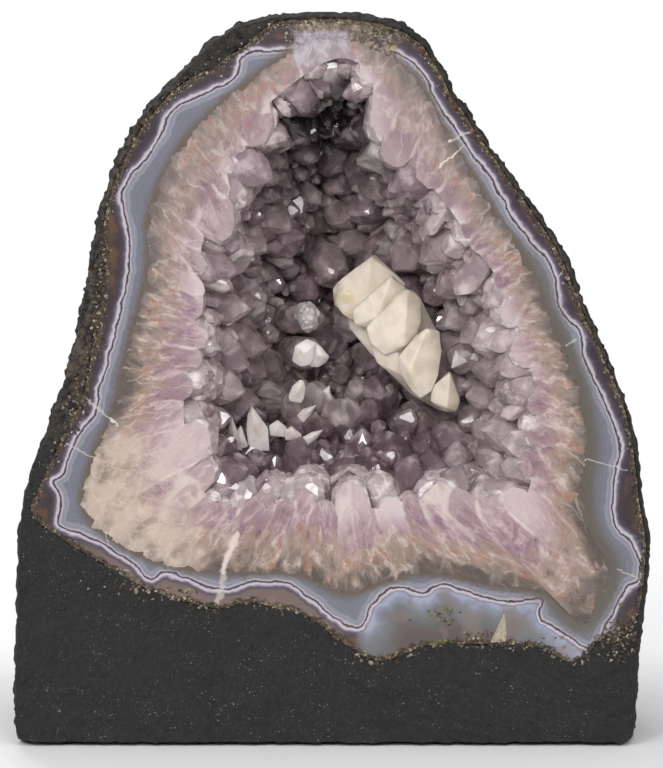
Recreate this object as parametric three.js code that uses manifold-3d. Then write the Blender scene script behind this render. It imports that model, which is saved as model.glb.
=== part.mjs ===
// Amethyst geode standing on a cast cement base, as a three.js scene graph.
//
// Millimetres, +Z up. The sawn, polished face looks along -Y and the part rests on z = 0, with the
// origin under the middle of its box. The pieces nest like bowls: the cement base and coat holds the
// agate shell, the shell holds the amethyst druse, and calcite crystals sit on the druse.
import * as THREE from "three";
import { mergeVertices } from "three/addons/utils/BufferGeometryUtils.js";
import Module from "manifold-3d";

const wasm = await Module();
wasm.setup();

// Driving dimensions
const HEIGHT = 240;
const DEPTH = 130;
const FRONT_Y = -DEPTH / 2;
const EDGE_BREAK = 1.5; // bevel round the front edge of the cement
const GAP = 0.3; // clearance between neighbouring pieces
const SOCKET_GAP = 2 * GAP; // clearance round a calcite crystal in the druse
const NARROWEST = 60; // the shortest way from a bowl's centre to its outline
const PAST_FRONT = 5; // how far a cutting bowl sticks out of the front face

const BASE_SQUARENESS = 2.6; // superellipse power of the base's side view
const BASE_STEPS = 9; // rings from the front of the base to its back
const BOWL_STEPS = 7;
const STONE_DEPTH = 104;
const DRUSE_DEPTH = 92;
const CAVITY_DEPTH = 80; // to the roots of the crystals at the back of the cavity
const QUARTER_TURN = Math.PI / 2;

// Quartz crystals of the lining. Shares are of the crystal's radius.
const CRYSTAL_SPACING = 16;
const CRYSTAL_RADIUS = [6, 10];
const CRYSTAL_LENGTH = [17, 26]; // whole crystal, root to tip
const CRYSTAL_ROOT = 9; // the length that is buried in the wall
const CRYSTAL_SIDES = 6;
const ROOT_SHARE = 0.6; // how much narrower a crystal is where it starts
const POINT_SHARE = [1, 1.35]; // height of the point
const LEAN = 0.3; // how far a crystal may lean off the wall's normal
const FIRST_ROW = 0.3; // where the first row stands, in rows from the rim
const TURN_JITTER = [-0.04, 0.04]; // radians towards the rim or the back
const ROW_JITTER = [-0.25, 0.25]; // in crystals along the row
const ROW_STAGGER = 0.5; // every second row starts this many crystals further on
const FEWEST_IN_ROW = 4;
const SLOPE_STEP = 1e-3; // step along the wall that its slope is measured over

// Calcite rhombs: where the upper and lower corners stand, in crystal lengths below the tip.
const CALCITE_CORNERS = [0.34, 0.62];
const CALCITE_SPIN = 0.4;

// Looks of the materials
const CEMENT = { color: 0x2b2b2c, roughness: 0.92 };
const AGATE = { color: 0x8f93a6, roughness: 0.25 };
const AMETHYST = { color: 0x8d7496, roughness: 0.2 };
const CALCITE = { color: 0xd8ccb4, roughness: 0.35 };
const PALE_CALCITE = { color: 0xe2dac8, roughness: 0.35 };

// Outlines on the front face, as [x, z], starting at the top and going round by the left.
const BASE_OUTLINE = [
  [-8, 240], [-31, 236.5], [-48, 222], [-64, 204], [-74.5, 180], [-80.5, 151], [-87, 122],
  [-98, 93], [-103, 70], [-104, 36], [-105, 10], [-103.5, 1.5], [-99, 0], [-50, 0], [0, 0],
  [50, 0], [96, 0], [99.5, 1.5], [100.5, 10], [101.5, 28], [103.5, 48], [105, 66], [102.5, 80],
  [98.5, 108], [84.5, 141], [75, 164], [58.5, 187.5], [39.5, 215], [29.5, 232], [16, 238.5],
];
const STONE_OUTLINE = [
  [0, 236.5], [-17, 234], [-32, 227], [-47, 216], [-60, 201], [-70.5, 182], [-73, 160],
  [-77, 140], [-80.5, 118], [-88, 102], [-96, 85], [-98.5, 77], [-90, 69.5], [-77, 61.5],
  [-59.5, 51.5], [-38, 45.5], [-27, 47.5], [-8, 42.5], [4.5, 33.5], [16, 28], [31, 33],
  [48, 33.5], [68, 32.5], [80, 27.5], [90, 38], [99, 52], [101.5, 66], [98.5, 82], [95.5, 103],
  [87.5, 126], [76.5, 150], [68, 169.5], [56, 186.5], [43.5, 205], [30.5, 224.5], [18, 234.5],
];
const QUARTZ_OUTLINE = [
  [2, 232.5], [-15, 226], [-25, 219], [-34, 212], [-49, 196.5], [-59, 175], [-60, 155],
  [-66, 133], [-71, 112], [-78, 95], [-81, 79], [-71, 68], [-53, 60], [-35, 57.5], [-11, 57],
  [4, 50.5], [20, 55.5], [34, 57], [55, 53], [71, 50], [82, 41], [91, 57], [84, 72], [82, 87],
  [83.5, 101], [79, 122], [72, 138], [64, 159], [55, 172], [44, 190], [36, 203], [25, 221],
];
// The line where the crystals' roots reach the cavity; their tips stand out of it.
const CAVITY_OUTLINE = [
  [3, 225], [-16, 214], [-30, 199], [-38, 180], [-44, 154], [-46, 131], [-48, 107], [-42, 85],
  [-30, 79], [0, 79], [31, 78], [50, 74], [64, 84], [66, 118], [58, 146], [42, 171],
  [27, 192], [17, 215],
];
const STONE_CENTRE = [2, 125];
const CAVITY_CENTRE = [6, 136];

// Calcite: tip, the direction the crystal points, its radius and its whole length.
const CLUSTER = [
  { tip: [13.5, -26, 161.5], points: [0.34, -0.3, 0.87], radius: 11, length: 32 },
  { tip: [20, -33, 155.5], points: [0.36, -0.3, 0.86], radius: 9.5, length: 30 },
  { tip: [25, -37, 150.5], points: [0.38, -0.3, 0.85], radius: 9.5, length: 32 },
  { tip: [27, -38, 138], points: [0.25, -0.55, 0.6], radius: 9, length: 30 },
  { tip: [35.5, -37, 138], points: [0.42, -0.25, 0.84], radius: 9.5, length: 34 },
  { tip: [39.5, -38, 124], points: [0.4, -0.25, 0.85], radius: 6.5, length: 22 },
  { tip: [6, -30, 153], points: [-0.05, -0.5, 0.7], radius: 8.5, length: 26 },
];
const SMALL_CALCITES = {
  calcite_knob_upper: { tip: [-9, -28, 144], points: [-0.1, -0.6, 0.75], radius: 5, length: 14 },
  calcite_knob_lower: { tip: [-2.5, -26, 131], points: [0.5, -0.6, 0.35], radius: 4, length: 12 },
  calcite_blade_1: { tip: [-32.5, -38, 112], points: [-0.1, -0.2, 0.97], radius: 2, length: 16 },
  calcite_blade_2: { tip: [-25, -34, 114], points: [-0.05, -0.2, 0.97], radius: 3.6, length: 20 },
  calcite_blade_3: { tip: [-10, -29, 121], points: [0.15, -0.35, 0.9], radius: 2.8, length: 14 },
  calcite_blade_4: { tip: [-1.5, -36, 105.5], points: [0.75, -0.5, 0.4], radius: 1.8, length: 12 },
  calcite_blade_5: { tip: [42, -42, 131], points: [0.1, -0.6, 0.75], radius: 3, length: 11 },
};

/** Pseudo-random numbers in 0..1, the same on each run. */
function randomFrom(seed) {
  let state = seed;
  return () => {
    state = (state + 0x6d2b79f5) | 0;
    let t = Math.imul(state ^ (state >>> 15), 1 | state);
    t = (t + Math.imul(t ^ (t >>> 7), 61 | t)) ^ t;
    return ((t ^ (t >>> 14)) >>> 0) / 4294967296;
  };
}

const random = randomFrom(7);
const between = ([low, high]) => low + (high - low) * random();

/** The closed smooth curve through [x, z] points. */
function closedCurve(points) {
  const corners = points.map(([x, z]) => new THREE.Vector3(x, 0, z));
  return new THREE.CatmullRomCurve3(corners, true, "centripetal");
}

/** A closed smooth outline with perSpan steps between its points, kept above the floor. */
function smoothOutline(points, perSpan) {
  const stepped = closedCurve(points).getPoints(points.length * perSpan).slice(0, -1);
  return stepped.map((p) => [p.x, Math.max(0, p.z)]);
}

/** The outline, scaled by share about a centre and moved to depth y. */
function ring(outline, [cx, cz], share, y) {
  return outline.map(([x, z]) => new THREE.Vector3(cx + (x - cx) * share, y, cz + (z - cz) * share));
}

/** A manifold solid from any closed, outward-facing three.js geometry. */
function solidOf(geometry) {
  const bare = geometry.clone();
  bare.deleteAttribute("normal");
  bare.deleteAttribute("uv");
  const merged = mergeVertices(bare, 1e-3);
  const mesh = new wasm.Mesh({
    numProp: 3,
    vertProperties: new Float32Array(merged.attributes.position.array),
    triVerts: new Uint32Array(merged.index.array),
  });
  return new wasm.Manifold(mesh);
}

/** A bowl: rings of one outline, capped flat at the front and brought to one point at the back. */
function bowl(rings, backPoint) {
  const count = rings[0].length;
  const positions = rings.flat().flatMap((p) => [p.x, p.y, p.z]);
  positions.push(backPoint.x, backPoint.y, backPoint.z);
  const indices = [];
  for (let k = 0; k < rings.length; k++) {
    for (let i = 0; i < count; i++) {
      const next = (i + 1) % count;
      const [a, b] = [k * count + i, k * count + next];
      if (k === rings.length - 1) indices.push(a, rings.length * count, b);
      else indices.push(a, a + count, b, b, a + count, b + count);
    }
  }
  const flat = rings[0].map((p) => new THREE.Vector2(p.x, p.z));
  for (const [a, b, c] of THREE.ShapeUtils.triangulateShape(flat, [])) indices.push(a, b, c);
  const geometry = new THREE.BufferGeometry();
  geometry.setAttribute("position", new THREE.Float32BufferAttribute(positions, 3));
  geometry.setIndex(indices);
  return solidOf(geometry);
}

/** A domed bowl: the outline shrinks about its centre as a quarter ellipse. past > 0 opens it forwards. */
function domedBowl(points, centre, depth, { past = 0, shrink = 0 } = {}) {
  const share = 1 - shrink / NARROWEST;
  const outline = smoothOutline(points, 1);
  const rings = past > 0 ? [ring(outline, centre, share, FRONT_Y - past)] : [];
  for (let k = 0; k < BOWL_STEPS; k++) {
    const turn = (k / BOWL_STEPS) * QUARTER_TURN;
    const y = FRONT_Y + (depth - shrink) * Math.sin(turn);
    rings.push(ring(outline, centre, share * Math.cos(turn), y));
  }
  return bowl(rings, new THREE.Vector3(centre[0], FRONT_Y + depth - shrink, centre[1]));
}

/** The outside of the cement: full at the front and domed down to the floor at the back. */
function cementBody() {
  const outline = smoothOutline(BASE_OUTLINE, 2);
  const [middle, onFloor] = [[0, HEIGHT / 2], [0, 0]];
  const rings = [ring(outline, middle, 1 - EDGE_BREAK / middle[1], FRONT_Y)];
  for (let k = 0; k < BASE_STEPS; k++) {
    const turn = (k / BASE_STEPS) * QUARTER_TURN;
    const share = Math.cos(turn) ** (2 / BASE_SQUARENESS);
    const back = (DEPTH - EDGE_BREAK) * Math.sin(turn) ** (2 / BASE_SQUARENESS);
    rings.push(ring(outline, onFloor, share, FRONT_Y + EDGE_BREAK + back));
  }
  return bowl(rings, new THREE.Vector3(0, FRONT_Y + DEPTH, 0));
}

/** Turns a geometry that stands along +Y so that it points along a direction with its tip at a place. */
function pointed(geometry, tip, direction, spin) {
  const along = direction.clone().normalize();
  const turn = new THREE.Quaternion().setFromUnitVectors(new THREE.Vector3(0, 1, 0), along);
  return geometry
    .rotateY(spin)
    .applyQuaternion(turn)
    .translate(tip.x, tip.y, tip.z);
}

/** A quartz crystal: a six-sided prism that widens from its root and ends in a six-sided point. */
function quartzCrystal(radius, length, tip, direction) {
  const pointHeight = radius * between(POINT_SHARE);
  const profile = [
    [0, -length], [radius * ROOT_SHARE, -length], [radius, -pointHeight], [0, 0],
  ].map(([r, y]) => new THREE.Vector2(r, y));
  const geometry = new THREE.LatheGeometry(profile, CRYSTAL_SIDES);
  return solidOf(pointed(geometry, tip, direction, random() * Math.PI));
}

/** A calcite crystal: a steep rhomb, its upper and lower corners staggered by a sixth of a turn.
 *  grow makes it larger all round, to cut the socket that it stands in. */
function calciteCrystal({ tip, points, radius, length }, grow = 0) {
  const wide = radius + grow;
  const long = length + 2 * grow;
  const corners = [[0, 0, 0]];
  for (let i = 0; i < 6; i++) {
    const angle = (i * Math.PI) / 3;
    const down = CALCITE_CORNERS[i % 2] * long;
    corners.push([wide * Math.cos(angle), -down, wide * Math.sin(angle)]);
  }
  corners.push([0, -long, 0]);
  const indices = [];
  for (let i = 0; i < 6; i++) {
    const [a, b] = [1 + i, 1 + ((i + 1) % 6)];
    indices.push(0, b, a, 7, a, b);
  }
  const geometry = new THREE.BufferGeometry();
  geometry.setAttribute("position", new THREE.Float32BufferAttribute(corners.flat(), 3));
  geometry.setIndex(indices);
  const direction = new THREE.Vector3(...points).normalize();
  const at = new THREE.Vector3(...tip).addScaledVector(direction, grow);
  return solidOf(pointed(geometry, at, direction, CALCITE_SPIN));
}

/** A point on the cavity's wall and the direction into the cavity there. */
function cavityWall(curve, along, turn) {
  const place = (s, t) => {
    const p = curve.getPointAt(((s % 1) + 1) % 1);
    const share = Math.cos(t);
    return new THREE.Vector3(
      CAVITY_CENTRE[0] + (p.x - CAVITY_CENTRE[0]) * share,
      FRONT_Y + CAVITY_DEPTH * Math.sin(t),
      CAVITY_CENTRE[1] + (p.z - CAVITY_CENTRE[1]) * share,
    );
  };
  const here = place(along, turn);
  const round = place(along + SLOPE_STEP, turn).sub(here);
  const back = place(along, turn + SLOPE_STEP).sub(here);
  return { here, inwards: round.cross(back).normalize() };
}

/** Every crystal of the lining, row by row from the rim to the back of the cavity. */
function liningCrystals() {
  const curve = closedCurve(CAVITY_OUTLINE);
  const crystals = [];
  const rows = Math.round((QUARTER_TURN * CAVITY_DEPTH) / CRYSTAL_SPACING) - 1;
  for (let row = 0; row < rows; row++) {
    const turn = ((row + FIRST_ROW) / rows) * QUARTER_TURN;
    const fitting = Math.round((curve.getLength() * Math.cos(turn)) / CRYSTAL_SPACING);
    const count = Math.max(FEWEST_IN_ROW, fitting);
    for (let i = 0; i < count; i++) {
      const along = (i + ROW_STAGGER * (row % 2) + between(ROW_JITTER)) / count;
      const { here, inwards } = cavityWall(curve, along, turn + between(TURN_JITTER));
      const leans = [0, 1, 2].map(() => between([-LEAN, LEAN]));
      const direction = inwards.add(new THREE.Vector3(...leans)).normalize();
      const length = between(CRYSTAL_LENGTH);
      const tip = here.addScaledVector(direction, length - CRYSTAL_ROOT);
      crystals.push(quartzCrystal(between(CRYSTAL_RADIUS), length, tip, direction));
    }
  }
  return crystals;
}

const joined = (solids) => solids.reduce((all, one) => all.add(one));
/** The main body, without the slivers that the sockets cut loose. */
const largestBody = (solid) =>
  solid.decompose().reduce((most, one) => (one.volume() > most.volume() ? one : most));

/** A named mesh of one solid, with a material of its own. */
function piece(name, solid, look) {
  const mesh = solid.getMesh();
  const geometry = new THREE.BufferGeometry();
  geometry.setAttribute("position", new THREE.BufferAttribute(mesh.vertProperties.slice(), 3));
  geometry.setIndex(new THREE.BufferAttribute(mesh.triVerts.slice(), 1));
  const flat = geometry.toNonIndexed();
  flat.computeVertexNormals();
  const material = new THREE.MeshStandardMaterial({ ...look, metalness: 0 });
  const made = new THREE.Mesh(flat, material);
  made.name = name;
  return made;
}

/** The cement foot and the coat that wraps the stone's back, hollowed to take the stone. */
function cementBase() {
  const stone = domedBowl(STONE_OUTLINE, STONE_CENTRE, STONE_DEPTH, { past: PAST_FRONT });
  return piece("cement_base", cementBody().subtract(stone), CEMENT);
}

/** The banded agate bowl, open at the sawn face. */
function agateShell() {
  const stone = domedBowl(STONE_OUTLINE, STONE_CENTRE, STONE_DEPTH, { shrink: GAP });
  const quartz = domedBowl(QUARTZ_OUTLINE, STONE_CENTRE, DRUSE_DEPTH, { past: PAST_FRONT });
  return piece("agate_shell", stone.subtract(quartz), AGATE);
}

/** The quartz lining with its crystals as one solid, less the sockets of the calcites on it. */
function amethystDruse(sockets) {
  const core = domedBowl(QUARTZ_OUTLINE, STONE_CENTRE, DRUSE_DEPTH, { shrink: GAP });
  const cavity = domedBowl(CAVITY_OUTLINE, CAVITY_CENTRE, CAVITY_DEPTH, { past: PAST_FRONT });
  const crystals = joined(liningCrystals()).intersect(core);
  const lined = core.subtract(cavity).add(crystals);
  return piece("amethyst_druse", largestBody(lined.subtract(sockets)), AMETHYST);
}

function geode() {
  const calcites = [...CLUSTER, ...Object.values(SMALL_CALCITES)];
  const sockets = calcites.map((crystal) => calciteCrystal(crystal, SOCKET_GAP));
  const group = new THREE.Group();
  group.add(cementBase(), agateShell(), amethystDruse(joined(sockets)));
  const cluster = joined(CLUSTER.map((crystal) => calciteCrystal(crystal)));
  group.add(piece("calcite_cluster", cluster, CALCITE));
  for (const [name, crystal] of Object.entries(SMALL_CALCITES)) {
    group.add(piece(name, calciteCrystal(crystal), PALE_CALCITE));
  }
  return group;
}

export default geode();
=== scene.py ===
"""The looks of the amethyst geode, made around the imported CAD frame.

Sizes are in millimetres in the frame's axes, and become metres where a mesh is made. The sawn face
looks along -Y. A line on that face is a closed outline of x and z, anticlockwise from the front.
"""

import itertools
import math
from collections import namedtuple

import bmesh
import bpy
import numpy as np
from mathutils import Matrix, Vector, noise


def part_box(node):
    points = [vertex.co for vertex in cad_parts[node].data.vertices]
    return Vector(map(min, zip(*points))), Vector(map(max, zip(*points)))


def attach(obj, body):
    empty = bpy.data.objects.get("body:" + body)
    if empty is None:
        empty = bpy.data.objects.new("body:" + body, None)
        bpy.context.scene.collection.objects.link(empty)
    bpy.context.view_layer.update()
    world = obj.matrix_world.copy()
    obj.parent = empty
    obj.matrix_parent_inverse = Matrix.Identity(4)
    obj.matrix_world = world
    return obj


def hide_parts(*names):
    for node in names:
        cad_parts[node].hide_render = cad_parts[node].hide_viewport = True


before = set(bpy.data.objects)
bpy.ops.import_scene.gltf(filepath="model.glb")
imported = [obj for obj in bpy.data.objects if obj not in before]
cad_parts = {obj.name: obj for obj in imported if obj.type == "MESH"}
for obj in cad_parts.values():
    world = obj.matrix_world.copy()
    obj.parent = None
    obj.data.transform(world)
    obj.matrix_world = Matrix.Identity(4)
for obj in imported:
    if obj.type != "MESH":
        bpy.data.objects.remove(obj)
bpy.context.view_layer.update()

MM = 0.001  # metres in a millimetre
SCENE = bpy.context.scene
CENTRE = np.array([2.0, 125.0])  # in the cavity; each line can be seen whole from here
CAVITY_CENTRE = np.array([6.0, 136.0])  # under the deepest point of the cavity


def node_box(node):
    """The lowest and highest corners of a CAD node, in millimetres."""
    low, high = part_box(node)
    return np.array(low) / MM, np.array(high) / MM


FRONT = node_box("agate_shell")[0][1]  # y of the sawn face
BACK = node_box("cement_base")[1][1]
HEIGHT = node_box("cement_base")[1][2]
STONE_BACK = node_box("agate_shell")[1][1]
DRUSE_BACK = node_box("amethyst_druse")[1][1]
WALL = 12.0  # druse behind the roots of the crystals
CAVITY_DEPTH = DRUSE_BACK - WALL - FRONT

# The middle of the white agate stripe, from the top and round by the left.
STRIPE = [
    (-3, 229), (-15.4, 228), (-28.8, 226.5), (-31.4, 219), (-41, 214), (-51.2, 209), (-57.4, 197),
    (-67, 184.6), (-68, 177), (-66, 166.7), (-67.4, 150), (-74, 124.5), (-76.2, 117),
    (-77.5, 109.5), (-84, 101.4), (-88.2, 90.3), (-91.2, 88), (-88.6, 82), (-89.2, 73), (-80, 69.5),
    (-66.5, 61.4), (-59.6, 55.2), (-53.5, 57.2), (-40.5, 52.6), (-35, 51.7), (-25.2, 54),
    (-16, 54), (-8, 49.7), (1, 42.2), (9.3, 39), (13.8, 47), (20.6, 52.6), (29.7, 50.7),
    (36.9, 53.3), (48.3, 49.4), (59.3, 47.8), (68.7, 48.4), (67.8, 43), (76.2, 37), (85.3, 31.9),
    (90.2, 40.3), (96.4, 52), (101, 55.6), (99.6, 66.3), (92.5, 74.8), (93, 88.4), (94, 101.4),
    (88.9, 114.4), (82.4, 128.7), (81, 136.5), (74.9, 144), (72.3, 156.7), (66.1, 164.8),
    (58.3, 175.2), (50.9, 188.2), (44, 197), (33.6, 212), (31, 218.4), (23.6, 225.9), (10, 230),
]
# Where the points of the rim's crystals end.
TIPS = [
    (1, 222), (-10, 213.5), (-21.6, 199), (-28, 179.4), (-36, 153.4), (-35.6, 130.6),
    (-37.9, 108), (-31.4, 90), (-0.5, 91), (32, 89), (45, 85), (54.8, 93.3), (56.4, 117.7),
    (48.3, 147), (32, 171.3), (17.4, 190.8), (12.5, 212),
]
# Where the roots of the lining's crystals reach the sawn face.
ROOTS = [
    (3, 225), (-16, 214), (-30, 199), (-38, 180), (-44, 154), (-46, 131), (-48, 107), (-42, 85),
    (-30, 79), (0, 79), (31, 78), (50, 74), (64, 84), (66, 118), (58, 146), (42, 171),
    (27, 192), (17, 215),
]


# ---- Lines on the sawn face -------------------------------------------------------------------

def front_lines(node):
    """The outlines of a CAD node's flat front face, the largest first."""
    mesh = bmesh.new()
    mesh.from_mesh(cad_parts[node].data)
    bmesh.ops.remove_doubles(mesh, verts=mesh.verts, dist=0.01 * MM)
    mesh.normal_update()
    flat = [
        f for f in mesh.faces
        if f.normal.y < -0.99 and abs(f.calc_center_median().y / MM - FRONT) < 0.1
    ]
    on_front = set(flat)
    following = {}
    for face in flat:
        for loop in face.loops:
            if not any(other in on_front for other in loop.edge.link_faces if other != face):
                following[loop.vert] = loop.link_loop_next.vert
    lines = []
    while following:
        start, at = following.popitem()
        line = [start]
        while at is not start:
            line.append(at)
            at = following.pop(at)
        lines.append(np.array([(v.co.x, v.co.z) for v in line]) / MM)
    mesh.free()
    return sorted((from_corner(anticlockwise(line)) for line in lines), key=area, reverse=True)


def area(line):
    """The area inside a closed line, negative if it runs clockwise."""
    x, z = line.T
    return 0.5 * np.sum(x * np.roll(z, -1) - np.roll(x, -1) * z)


def anticlockwise(line):
    line = np.array(line, float)
    return line if area(line) > 0 else line[::-1]


def from_corner(line):
    """The same closed line begun at its upper right, in whatever order a mesh gives it."""
    return np.roll(line, -(line @ (1.0, 0.37)).argmax(), axis=0)


def smooth(points, steps):
    """The closed Catmull-Rom curve through the points, with some steps from each to the next."""
    before, here, after, beyond = (np.roll(points, k, axis=0)[:, None] for k in (1, 0, -1, -2))
    t = np.linspace(0, 1, steps, endpoint=False)[None, :, None]
    curve = 0.5 * (
        2 * here + (after - before) * t
        + (2 * before - 5 * here + 4 * after - beyond) * t ** 2
        + (3 * here - before - 3 * after + beyond) * t ** 3
    )
    return curve.reshape(-1, 2)


def evenly(line, count):
    """count points spaced evenly along a closed line."""
    closed = np.vstack([line, line[:1]])
    steps = np.linalg.norm(np.diff(closed, axis=0), axis=1)
    along = np.concatenate([[0], np.cumsum(steps)])
    at = np.linspace(0, along[-1], count, endpoint=False)
    return np.stack([np.interp(at, along, closed[:, k]) for k in (0, 1)], axis=1)


def polar(points):
    """The angle and the distance of points about the centre."""
    arm = np.asarray(points) - CENTRE
    return np.arctan2(arm[..., 1], arm[..., 0]), np.linalg.norm(arm, axis=-1)


def reach(line, angles):
    """How far from the centre a closed line is in each direction."""
    angle, distance = polar(line)
    order = np.argsort(angle)
    return np.interp(angles, angle[order], distance[order], period=2 * np.pi)


def at_polar(angles, distances):
    """Points on the face from angles and distances about the centre."""
    return CENTRE + np.stack([np.cos(angles), np.sin(angles)], axis=-1) * distances[..., None]


def depth_inside(points, line):
    """How far points are inside a closed line, negative outside."""
    ends = np.roll(line, -1, axis=0)
    span = ends - line
    nearest = np.empty(len(points))
    inside = np.empty(len(points), bool)
    for k in range(0, len(points), 4096):
        some = points[k:k + 4096, None]
        share = np.clip(((some - line) * span).sum(-1) / (span ** 2).sum(-1), 0, 1)
        nearest[k:k + 4096] = np.linalg.norm(some - line - share[..., None] * span, axis=-1).min(1)
        crosses = (line[:, 1] > some[..., 1]) != (ends[:, 1] > some[..., 1])
        rise = np.where(span[:, 1] == 0, 1, span[:, 1])
        at_x = line[:, 0] + (some[..., 1] - line[:, 1]) * span[:, 0] / rise
        inside[k:k + 4096] = (crosses & (some[..., 0] < at_x)).sum(1) % 2 == 1
    return np.where(inside, nearest, -nearest)


def rough(points, size, detail=3, seed=0):
    """Fractal noise from about -1 to 1 at 3D points, with features of about a size."""
    shift = Vector((seed * 17.3, seed * 5.1, seed * 11.7))
    return np.array([
        noise.fractal(Vector(p) / size + shift, 0.9, 2.1, detail, noise_basis="PERLIN_ORIGINAL")
        for p in points.tolist()
    ])


def rise(value, low, high):
    """0 below low, 1 above high, and a smooth step between."""
    t = np.clip((value - low) / (high - low), 0, 1)
    return t * t * (3 - 2 * t)


# ---- Meshes -----------------------------------------------------------------------------------

def closed_grid(rings, first_pole, last_pole):
    """The points and faces of a closed body: rings of points, brought to a point at both ends."""
    rows, columns = rings.shape[:2]
    points = np.vstack([rings.reshape(-1, 3), [first_pole], [last_pole]])
    here = np.arange(rows * columns).reshape(rows, columns)
    beside = np.roll(here, -1, axis=1)
    quads = np.stack([here[:-1], beside[:-1], beside[1:], here[1:]], axis=-1).reshape(-1, 4)
    first, last = rows * columns, rows * columns + 1
    fans = [(first, b, a) for a, b in zip(here[0].tolist(), beside[0].tolist())]
    fans += [(last, a, b) for a, b in zip(here[-1].tolist(), beside[-1].tolist())]
    return points, quads.tolist() + fans


def facing_out(data):
    """Turns a closed mesh's faces outwards."""
    mesh = bmesh.new()
    mesh.from_mesh(data)
    bmesh.ops.recalc_face_normals(mesh, faces=mesh.faces)
    mesh.to_mesh(data)
    mesh.free()


def coordinates(data):
    flat = np.empty(len(data.vertices) * 3, np.float32)
    data.vertices.foreach_get("co", flat)
    return flat.reshape(-1, 3).astype(float) / MM


def move_to(data, points):
    data.vertices.foreach_set("co", (points * MM).astype(np.float32).ravel())
    data.update()


def store(data, name, values):
    """Keeps a number or a vector for each vertex, for the material to read."""
    kind, key = ("FLOAT", "value") if values.ndim == 1 else ("FLOAT_VECTOR", "vector")
    layer = data.attributes.new(name, kind, "POINT")
    layer.data.foreach_set(key, values.astype(np.float32).ravel())


def mesh_of(name, points, faces):
    data = bpy.data.meshes.new(name)
    data.from_pydata((np.asarray(points) * MM).tolist(), [], faces)
    facing_out(data)
    return data


def piece(name, data, material, replaced=()):
    """A piece of the geode that shows, riding on its one body."""
    made = bpy.data.objects.new(name, data)
    SCENE.collection.objects.link(made)
    data.materials.append(material)
    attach(made, "root")
    if replaced:
        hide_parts(*replaced)


# ---- Crystals ---------------------------------------------------------------------------------

QUARTZ_SLOPE = math.radians(51.8)  # between a point's face and the plane across the crystal
WORN_SLOPE = math.radians(41)  # on the blunter crystals of the rim
FLAT_ENOUGH = math.radians(4)  # between two faces of a hull that become one

ON_FACE = 0.02  # how near a plane a corner on it is

# A convex body, and the planes it lies behind.
Solid = namedtuple("Solid", "corners faces normals offsets")


def unit(vector):
    vector = np.asarray(vector, float)
    return vector / np.linalg.norm(vector)


def axes_along(direction, spin):
    """Three axes in the columns of a matrix, the last one along a direction."""
    up = unit(direction)
    side = unit(np.cross(up, [0.31, 0.22, 0.93] if abs(up[0]) > 0.6 else [1, 0, 0]))
    other = np.cross(up, side)
    turned = math.cos(spin) * side + math.sin(spin) * other
    return np.stack([turned, np.cross(up, turned), up], axis=1)


def corners_of(normals, offsets):
    """The corners of the convex body behind every plane."""
    triples = np.array(list(itertools.combinations(range(len(normals)), 3)))
    sets = normals[triples]
    solvable = np.abs(np.linalg.det(sets)) > 1e-5
    found = np.linalg.solve(sets[solvable], offsets[triples[solvable]][..., None])[..., 0]
    kept = found[(found @ normals.T <= offsets + 1e-5).all(axis=1)]
    return np.unique(np.round(kept, 2), axis=0)


def hull(points, planes=(None, None)):
    """The convex body round some points."""
    if len(points) < 4:
        return Solid(points, [], *planes)
    mesh = bmesh.new()
    for point in points:
        mesh.verts.new(point)
    made = bmesh.ops.convex_hull(mesh, input=mesh.verts)
    spare = dict.fromkeys(made["geom_interior"] + made["geom_unused"])
    unused = [v for v in spare if isinstance(v, bmesh.types.BMVert)]
    bmesh.ops.delete(mesh, geom=unused, context="VERTS")
    bmesh.ops.dissolve_limit(mesh, angle_limit=FLAT_ENOUGH, verts=mesh.verts, edges=mesh.edges)
    bmesh.ops.recalc_face_normals(mesh, faces=mesh.faces)
    mesh.verts.index_update()
    corners = np.array([v.co for v in mesh.verts])
    faces = [[v.index for v in face.verts] for face in mesh.faces]
    mesh.free()
    return Solid(corners, faces, *planes)


def blunted(normals, offsets, way, width):
    """The planes of a crystal, with one more along each of its edges and across its tip."""
    corners = corners_of(normals, offsets)
    on = (np.abs(corners @ normals.T - offsets) < ON_FACE).astype(int)
    sides = np.argwhere(np.triu(on.T @ on, 1) >= 2)
    extra = np.array([unit(normals[a] + normals[b]) for a, b in sides] + [unit(way)])
    turns = [math.sqrt((1 - normals[a] @ normals[b]) / 2) for a, b in sides] + [0.5]
    furthest = (corners @ extra.T).max(axis=0)
    return np.vstack([normals, extra]), np.append(offsets, furthest - width * np.array(turns))


def quartz(rng, tip, direction, radius, length, front=None, slope=QUARTZ_SLOPE, blunt=0):
    """A quartz crystal: an uneven six-sided prism and point, cut off flat at the sawn face."""
    turn = np.arange(6) * np.pi / 3
    round_about = np.stack([np.cos(turn), np.sin(turn)], axis=1)
    sides = np.hstack([round_about, np.zeros((6, 1))])
    slopes = np.hstack([round_about * math.sin(slope), np.full((6, 1), math.cos(slope))])
    side_offsets = radius * rng.uniform(0.78, 1.08, 6)
    minor = np.arange(6) % 2 * rng.uniform(0.02, 0.3)
    slope_offsets = radius * (minor + rng.uniform(-0.1, 0.08, 6))
    normals = np.vstack([sides, slopes, [[0, 0, -1]]])
    offsets = np.concatenate([side_offsets, slope_offsets, [length]])
    normals = normals @ axes_along(direction, rng.uniform(0, np.pi)).T
    offsets = offsets + normals @ np.asarray(tip, float)
    if blunt:
        normals, offsets = blunted(normals, offsets, direction, blunt)
    planes = (normals, offsets)
    if front is not None:
        normals = np.vstack([normals, [[0, -1, 0]]])
        offsets = np.append(offsets, -front)
    return hull(corners_of(normals, offsets), planes)


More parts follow.
